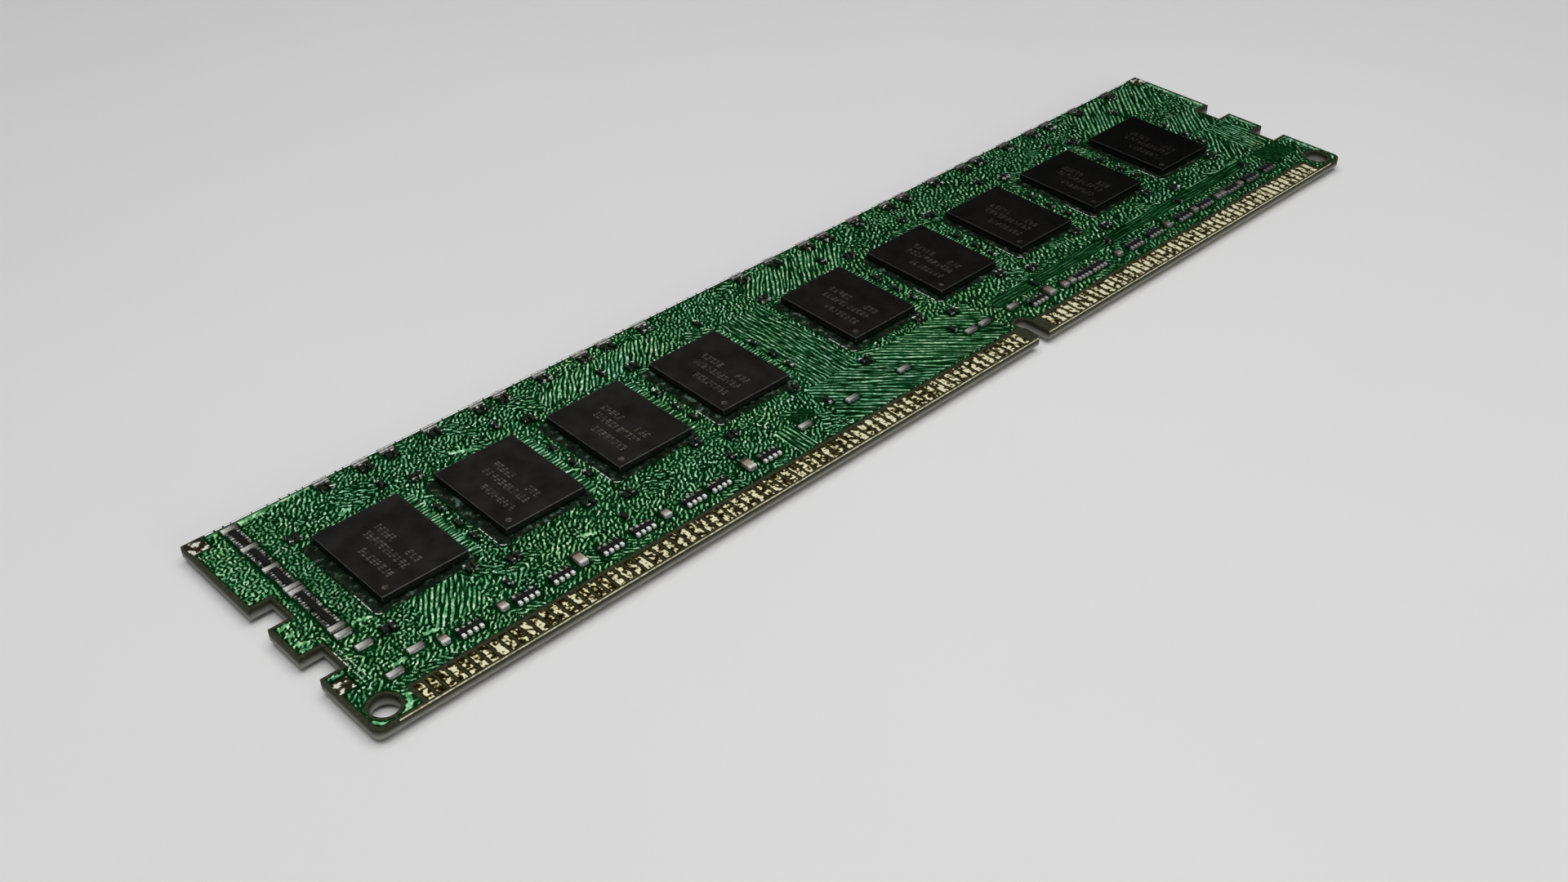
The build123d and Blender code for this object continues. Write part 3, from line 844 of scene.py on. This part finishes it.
def relief_mesh(name, rise, coated, columns, grid, height, outward):
    """The skin over the grid columns from one index to another."""
    start, end = columns
    wanted = coated[start:end]
    corners = wanted[:-1, :-1] & wanted[1:, :-1] & wanted[1:, 1:] & wanted[:-1, 1:]
    i, j = np.nonzero(corners)
    up = wanted.shape[1]
    quads = np.stack((i * up + j, (i + 1) * up + j, (i + 1) * up + j + 1, i * up + j + 1), axis=1)
    if outward < 0:
        quads = quads[:, ::-1]
    used, quads = np.unique(quads, return_inverse=True)
    quads = quads.reshape(-1, 4)
    x = BOARD_LOW.x + (start + used // up + 0.5) / grid * MM
    y = BOARD_LOW.y + (used % up + 0.5) / grid * MM
    lift = np.maximum(rise[start:end].reshape(-1)[used] * TRACK_RISE, SKIN)
    points = np.stack((x, y, height + outward * lift * MM), axis=1)
    data = bpy.data.meshes.new(name)
    data.vertices.add(len(points))
    data.vertices.foreach_set("co", points.astype(np.float32).ravel())
    data.loops.add(quads.size)
    data.loops.foreach_set("vertex_index", quads.astype(np.int32).ravel())
    data.polygons.add(len(quads))
    data.polygons.foreach_set("loop_start", np.arange(0, quads.size, 4, dtype=np.int32))
    data.update(calc_edges=True)
    return data


def add_relief(side, grid, seed, finish):
    """The coating over one face's tracks, in pieces along the board."""
    height, outward = (MASK_TOP, 1) if side == "front" else (MASK_BOTTOM, -1)
    rise, coated = relief(side, grid, seed)
    step = int(PIECE_LENGTH * grid)
    for number, start in enumerate(range(0, rise.shape[0] - 1, step), start=1):
        name = f"{side}_tracks_{number}"
        columns = (start, min(start + step + 1, rise.shape[0]))
        data = relief_mesh(name, rise, coated, columns, grid, height, outward)
        piece = link_mesh(name, data, [finish])
        smooth(piece)
        on_board(piece)


def ridge_mesh(name, lines, height, half_foot, half_crown, rise):
    """Closed ridges along plan lines, standing on a face at height."""
    section = ((half_foot, 0), (half_crown, rise), (-half_crown, rise), (-half_foot, 0))
    verts, faces = [], []
    for line in lines:
        start = len(verts)
        for k, (x, y) in enumerate(line):
            ax, ay = line[max(k - 1, 0)]
            bx, by = line[min(k + 1, len(line) - 1)]
            run = math.hypot(bx - ax, by - ay) or 1.0
            nx, ny = -(by - ay) / run, (bx - ax) / run
            for offset, lift in section:
                px, py = place(x + nx * offset, y + ny * offset)
                verts.append((px, py, height + lift * MM))
        for k in range(len(line) - 1):
            a, b = start + 4 * k, start + 4 * k + 4
            for i in range(4):
                j = (i + 1) % 4
                faces.append((a + i, a + j, b + j, b + i))
        end = start + 4 * (len(line) - 1)
        faces.append((start + 3, start + 2, start + 1, start))
        faces.append((end, end + 1, end + 2, end + 3))
    data = bpy.data.meshes.new(name)
    data.from_pydata(verts, [], faces)
    return data


def ring(centre, radius, start, end, steps=10):
    """Points along an arc, in degrees."""
    turns = [math.radians(start + (end - start) * i / steps) for i in range(steps + 1)]
    return [(centre[0] + radius * math.cos(t), centre[1] + radius * math.sin(t)) for t in turns]


# Board trim

HOLE_INSET = 2.05
KEY_MIDDLE = 78.675
KEY_HALF_WIDTH = 0.8
# Margins of the painted shadow round the chips on each half of the board: left, bottom, right and top
CHIP_SHADOW_MARGINS = (1.1, 0.72, 0.35, 0.12)
FAR_CHIP_SHADOW_MARGINS = (0.75, 0.5, 0.25, 0.12)
CHIP_SHADOW_CORNER = 0.55
CHIP_SHADOW_THICKNESS = 0.008
# Printed lines beside the near latch notch: the x of each, and where they start and end
NOTCH_LINES = (2.38, 2.86)
NOTCH_LINE_ENDS = (5.2, 9.9)
# The printed corner beside each chip: the ends of its line, above the corner, and its arc in degrees
CORNER_LINE_ENDS = (3.4, 0.7)
CORNER_ARC = (200, 262)
LINE_ON_CHIP_SHADOW = 0.05  # mm by which it overlaps the painted shadow
LEGEND_SEED = 3
# A painted highlight along the top edge, as raised white dashes
TOP_HIGHLIGHT_SEED = 8
TOP_HIGHLIGHT_INSET = 0.17
TOP_HIGHLIGHT_ROW_INSET = 2.2  # of the row's ends, from the board's ends
# The pale film on the bevel of the contact edge: how far in and how far down it starts and ends
BEVEL_OUTER = (0.02, 0.185)
BEVEL_INNER = (0.10, 0.105)
BEVEL_END_GAP = 0.05
FILM = 0.006


def rounded_plan(x0, y0, x1, y1, radius):
    """The corners of a rounded box, anticlockwise."""
    middles = ((x1 - radius, y1 - radius), (x0 + radius, y1 - radius),
               (x0 + radius, y0 + radius), (x1 - radius, y0 + radius))
    points = []
    for quarter, middle in enumerate(middles):
        points += ring(middle, radius, 90 * quarter, 90 * quarter + 90, steps=6)
    return points


def add_sheet(mesh, points, bottom, thickness):
    """A flat closed sheet in plan, added to a bmesh."""
    rings = []
    for z in (bottom, bottom + thickness * MM):
        rings.append([mesh.verts.new((*place(x, y), z)) for x, y in points])
    mesh.faces.new(rings[0][::-1])
    mesh.faces.new(rings[1])
    for i in range(len(points)):
        j = (i + 1) % len(points)
        mesh.faces.new((rings[0][i], rings[0][j], rings[1][j], rings[1][i]))


def chip_shadow_margins(node):
    """The painted shadow's margins round one chip."""
    near = plan(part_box(node)[0])[0] < LENGTH / 2
    return CHIP_SHADOW_MARGINS if near else FAR_CHIP_SHADOW_MARGINS


def add_chip_shadows():
    """The painted shadow round the chips: a dark sheet on the coating, widest on each chip's left and lower
    sides.
    """
    mesh = bmesh.new()
    for node in CHIP_NODES:
        low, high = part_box(node)
        left, bottom, right, top = chip_shadow_margins(node)
        (x0, y0), (x1, y1) = plan(low), plan(high)
        outline = rounded_plan(x0 - left, y0 - bottom, x1 + right, y1 + top, CHIP_SHADOW_CORNER)
        add_sheet(mesh, outline, MASK_TOP, CHIP_SHADOW_THICKNESS)
    on_board(add_object("painted_chip_shadows", mesh, [chip_shadow_material()]))


def dashes(start, end, length, gap, draw):
    """Short lines along a straight run, of uneven length."""
    run = math.hypot(end[0] - start[0], end[1] - start[1])
    ux, uy = (end[0] - start[0]) / run, (end[1] - start[1]) / run
    along, found = 0.0, []
    while along < run:
        stop = min(run, along + length * draw.uniform(0.4, 1.6))
        found.append([(start[0] + ux * s, start[1] + uy * s) for s in (along, stop)])
        along = stop + gap * draw.uniform(0.5, 1.5)
    return found


def add_legend(finish):
    """Printed lines: two beside the latch notch, and a broken corner beside each chip."""
    draw = random.Random(LEGEND_SEED)
    lines = []
    start, end = NOTCH_LINE_ENDS
    for x in NOTCH_LINES:
        lines += dashes((x, start), (x, end), length=0.4, gap=0.2, draw=draw)
    start, end = CORNER_LINE_ENDS
    for node in CHIP_NODES:
        left, bottom, _, _ = chip_shadow_margins(node)
        x, y = plan(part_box(node)[0])
        x -= left - LINE_ON_CHIP_SHADOW
        y -= bottom - LINE_ON_CHIP_SHADOW
        lines += dashes((x, y + start), (x, y + end), length=0.35, gap=0.15, draw=draw)
        lines.append(ring((x + CHIP_SHADOW_CORNER, y + CHIP_SHADOW_CORNER), CHIP_SHADOW_CORNER, *CORNER_ARC, steps=4))
    data = ridge_mesh("legend_lines", lines, MASK_TOP, half_foot=0.06, half_crown=0.05, rise=0.016)
    on_board(link_mesh("legend_lines", data, [finish]))


def add_top_edge_highlight():
    """A painted highlight along the top edge: raised white dashes that stand in for the light the edge
    catches.
    """
    draw = random.Random(TOP_HIGHLIGHT_SEED)
    y = WIDTH - TOP_HIGHLIGHT_INSET
    highlight_dashes = dashes((TOP_HIGHLIGHT_ROW_INSET, y), (LENGTH - TOP_HIGHLIGHT_ROW_INSET, y), length=1.2, gap=0.14, draw=draw)
    data = ridge_mesh("painted_top_edge_highlight", highlight_dashes, BOARD_HIGH.z, half_foot=0.075, half_crown=0.065, rise=0.05)
    pale = laminate_material("painted_highlight_white", (0.86, 0.90, 0.86), (1.0, 1.0, 1.0))
    on_board(link_mesh("painted_top_edge_highlight", data, [pale]))


def add_edge_bevel():
    """The pale bevel of the contact edge, as a thin film on each side of the key slot."""
    corners = []
    for (y, depth), film in ((BEVEL_OUTER, 0), (BEVEL_INNER, 0), (BEVEL_INNER, FILM), (BEVEL_OUTER, FILM)):
        corners.append((y, BOARD_HIGH.z - (depth - film) * MM))
    spans = ((HOLE_INSET, KEY_MIDDLE - KEY_HALF_WIDTH), (KEY_MIDDLE + KEY_HALF_WIDTH, LENGTH - HOLE_INSET))
    mesh = bmesh.new()
    for start, end in spans:
        ends = []
        for x in (start + BEVEL_END_GAP, end - BEVEL_END_GAP):
            ends.append([mesh.verts.new((*place(x, y), z)) for y, z in corners])
        for i in range(4):
            j = (i + 1) % 4
            mesh.faces.new((ends[0][i], ends[1][i], ends[1][j], ends[0][j]))
        mesh.faces.new(ends[0])
        mesh.faces.new(ends[1][::-1])
    bmesh.ops.recalc_face_normals(mesh, faces=mesh.faces)
    bevel = laminate_material("bevel_fibres", (0.24, 0.22, 0.12), (0.80, 0.75, 0.50))
    on_board(add_object("contact_edge_bevel", mesh, [bevel]))


# Etched bars on the chips

MARK_SEED = 5
# Columns of marks: x from the chip's left side, and start and end from its lower side
MARK_COLUMNS = ((2.1, 1.85, 6.5), (3.65, 1.85, 8.5), (4.85, 1.85, 3.75), (4.85, 5.55, 8.5))
MARK_LENGTH = 0.42
MARK_GAP = 0.16
BAR_SPACING = 0.29  # between the bars of a mark
BAR_WIDTH = 0.19
BAR_DEPTH = 0.004
BAR_CUTS = (0.0, 0.0, 0.35, 0.5)  # shares of a bar's length, one of which is cut off it
SPOT_INSET = 0.9  # of the first-pin spot, from the chip's corner
SPOT_RADIUS = 0.3
SPOT_SIDES = 20


def add_chip_marks(finish):
    """Marks of plain etched bars in place of the makers' lettering, with a round first-pin spot."""
    draw = random.Random(MARK_SEED)
    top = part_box(CHIP_NODES[0])[1].z
    mesh = bmesh.new()
    for node in CHIP_NODES:
        x0, y0 = plan(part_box(node)[0])
        for column, start, end in MARK_COLUMNS:
            y = y0 + start
            while y + MARK_LENGTH < y0 + end:
                for bar in (-1, 0, 1):
                    x = x0 + column + bar * BAR_SPACING
                    cut = draw.choice(BAR_CUTS) * MARK_LENGTH
                    low, high = y, y + MARK_LENGTH
                    if draw.random() < 0.5:
                        low += cut
                    else:
                        high -= cut
                    add_flat_box(mesh, (x - BAR_WIDTH / 2, low), (x + BAR_WIDTH / 2, high), top)
                y += MARK_LENGTH + MARK_GAP
        add_spot(mesh, (x0 + SPOT_INSET, y0 + SPOT_INSET), SPOT_RADIUS, top)
    on_board(add_object("chip_etched_bars", mesh, [finish]))


def add_flat_box(mesh, low, high, top):
    """A thin box in plan, standing BAR_DEPTH proud of a face."""
    (x0, y0), (x1, y1) = place(*low), place(*high)
    depth = BAR_DEPTH * MM
    size = Vector((x1 - x0, y1 - y0, depth))
    middle = Vector(((x0 + x1) / 2, (y0 + y1) / 2, top + depth / 2))
    for vert in bmesh.ops.create_cube(mesh, size=1.0)["verts"]:
        vert.co = middle + vert.co * size


def add_spot(mesh, centre, radius, top):
    """A thin disc in plan, standing BAR_DEPTH proud of a face."""
    depth = BAR_DEPTH * MM
    middle = Vector((*place(*centre), top + depth / 2))
    disc = bmesh.ops.create_cone(mesh, cap_ends=True, segments=SPOT_SIDES, radius1=radius * MM,
                                 radius2=radius * MM, depth=depth)
    for vert in disc["verts"]:
        vert.co += middle


# Parts with painted light that changes across them

GRADE = "across"
TOUCH = 0.05 * MM  # closer than this, two solids belong to one part


def whole_parts(kind):
    """The box of each part of a kind: its body with the terminals that touch it."""
    terminals = solids(f"{kind}_terminals")
    boxes = []
    for low, high in solids(f"{kind}_bodies"):
        touching = [(a, b) for a, b in terminals
                    if all(a[i] < high[i] + TOUCH and b[i] > low[i] - TOUCH for i in range(3))]
        lows = [low] + [a for a, _ in touching]
        highs = [high] + [b for _, b in touching]
        boxes.append((Vector(map(min, *lows)), Vector(map(max, *highs))) if touching else (low, high))
    return boxes


def painted_light_copy(node, boxes, axis, finish, width):
    """A copy of a CAD node whose points know how far along the box of their part they lie, from 0 to 1."""
    mesh = bmesh.new()
    mesh.from_mesh(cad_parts[node].data)
    bmesh.ops.remove_doubles(mesh, verts=mesh.verts, dist=WELD_DISTANCE)
    grade = mesh.verts.layers.float.new(GRADE)
    for vert in mesh.verts:
        for low, high in boxes:
            if all(low[i] - TOUCH < vert.co[i] < high[i] + TOUCH for i in range(2)):
                vert[grade] = (vert.co[axis] - low[axis]) / (high[axis] - low[axis])
                break
    piece = add_object(f"{node}_painted_light", mesh, [finish])
    round_edges(piece, width)
    on_board(piece)
    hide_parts(node)


def add_painted_light_parts():
    """Painted light: bar capacitors painted bright at their left end and dark at their right, and bulk
    capacitors painted bright at the end by the contacts and dark at the far end.
    """
    along_x, along_y = 0, 1
    # Painted highlight at the left end, painted shade toward the right end.
    bar_painted_light_stops = [(0.0, (1.0, 1.0, 0.97)), (0.25, (0.70, 0.68, 0.63)), (1.0, (0.07, 0.06, 0.055))]
    plate = painted_light_material("bar_plate_painted_light", bar_painted_light_stops, metallic=0.35)
    bars = whole_parts("bar_capacitor")
    painted_light_copy("bar_capacitor_bodies", bars, along_x, plate, PART_ROUNDING)
    painted_light_copy("bar_capacitor_terminals", bars, along_x, plate, PART_ROUNDING)
    bulk = whole_parts("bulk_capacitor")
    # Painted highlight at the end by the contacts, painted shade toward the far end.
    end_painted_light_stops = [(0.0, (0.98, 0.98, 0.95)), (0.5, (0.80, 0.78, 0.74)), (0.8, (0.07, 0.06, 0.05))]
    ends = painted_light_material("bulk_ends_painted_light", end_painted_light_stops, metallic=0.35)
    body = painted_light_material("bulk_body_painted_light", [(0.2, (0.52, 0.42, 0.35)), (0.85, (0.20, 0.14, 0.10))])
    painted_light_copy("bulk_capacitor_bodies", bulk, along_y, body, BULK_BODY_ROUNDING)
    painted_light_copy("bulk_capacitor_terminals", bulk, along_y, ends, BULK_END_ROUNDING)


# CAD nodes' finishes


def paint(prefixes, finish):
    """Gives every CAD node whose name starts with one of prefixes its finish."""
    for name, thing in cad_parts.items():
        if name.startswith(prefixes):
            thing.data.materials.clear()
            thing.data.materials.append(finish)


def paint_frame(front, back):
    """Gives every CAD node its finish. A later line overrides an earlier one."""
    resistor = ceramic_material("resistor_glaze", (0.0035, 0.0035, 0.0035), (0.010, 0.010, 0.010), 0.15)
    brown = ceramic_material("brown_ceramic", (0.004, 0.008, 0.004), (0.020, 0.026, 0.016), 0.1)
    tan = ceramic_material("tan_ceramic", (0.10, 0.070, 0.050), (0.30, 0.22, 0.17), 0.2)
    resin = laminate_material("bare_laminate", (0.014, 0.018, 0.008), (0.050, 0.052, 0.024))
    paint(("core_", "prepreg_back"), cut_edge_material())
    paint(("prepreg_front",), resin)
    paint(("ground_plane", "power_plane", "via_barrels"), copper_material())
    paint(("solder_mask_front",), front)
    paint(("solder_mask_back",), back)
    paint(("contacts_",), gold_material())
    paint(("corner_pads",), pad_material())
    paint(("dram_mold_", "serial_chip_body"), mold_material())
    paint(("dram_substrate_",), substrate_material())
    paint(("dram_balls_", "solder_joints"), solder_material())
    paint(("dram_dies",), silicon_material())
    paint(("resistor_array_bodies",), resistor)
    paint(("decoupling_capacitor_bodies",), brown)
    paint(("back_capacitor_bodies",), tan)
    paint(("edge_capacitor_bodies",), edge_ceramic_material())
    paint(("back_label",), label_material())
    terminals = tuple(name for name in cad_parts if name.endswith("_terminals"))
    paint((*terminals, "serial_chip_pads"), tin_material())
    paint(("decoupling_capacitor_terminals",), small_tin_material())
    paint(("resistor_array_terminals",), array_tin_material())


def soften_frame():
    """Rounds the edges of the chips, the contacts and the small parts."""
    # The chips' rounded edges get a painted highlight.
    edge_highlight = mold_edge_highlight_material()
    for node in CHIP_NODES:
        soften_node(node, MOLD_ROUNDING, edge_highlight)
    for node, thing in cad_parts.items():
        if node.startswith(("contacts_", "resistor_array_")):
            soften_node(node, FINE_ROUNDING)
        elif node.endswith(("_bodies", "_terminals", "_pads")) and not thing.hide_render:
            soften_node(node, PART_ROUNDING)


bpy.context.scene.view_settings.view_transform = "Standard"
add_camera()
add_lights()
add_floor()
front_coating = coating_material("front_coating", MASK_TOP, 1)
back_coating = coating_material("back_coating", MASK_BOTTOM, -1)
add_painted_light_parts()
paint_frame(front_coating, back_coating)
soften_frame()
add_relief("front", FRONT_GRID, FRONT_SEED, front_coating)
add_relief("back", BACK_GRID, BACK_SEED, back_coating)
add_chip_shadows()
add_legend(legend_material())
add_top_edge_highlight()
add_edge_bevel()
add_chip_marks(etched_material())
